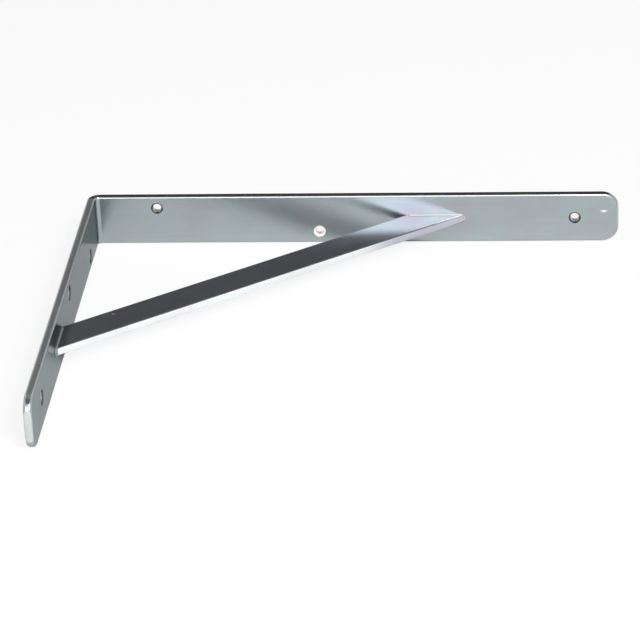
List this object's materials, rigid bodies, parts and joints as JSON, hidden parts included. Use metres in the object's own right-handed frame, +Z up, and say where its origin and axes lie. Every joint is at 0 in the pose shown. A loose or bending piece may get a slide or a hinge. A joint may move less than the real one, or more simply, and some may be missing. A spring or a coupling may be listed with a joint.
{
  "type": "gallows shelf bracket",
  "caption": "Zinc plated steel shelf bracket: a flat strap bent to a right angle, with screw holes in both arms and a welded diagonal flat-bar brace.",
  "frame": {"origin": "on the wall plane and the shelf plane, where they meet outside the bend, at the middle of the strap's width", "axes": "+X away from the wall along the shelf arm, +Z up out of the shelf arm towards the shelf, Y across the strap's width"},
  "size_m": [0.306, 0.03, 0.25],
  "materials": {
    "zinc_strap": "bright zinc plated rolled steel, semi-gloss",
    "zinc_brace": "bright zinc plated rolled steel, semi-gloss",
    "zinc_weld": "zinc plated weld metal, satin"
  },
  "bodies": {
    "root": {"bent_strap": "zinc_strap", "brace_bar": "zinc_brace", "shelf_weld": "zinc_weld", "wall_weld": "zinc_weld"}
  },
  "joints": []
}
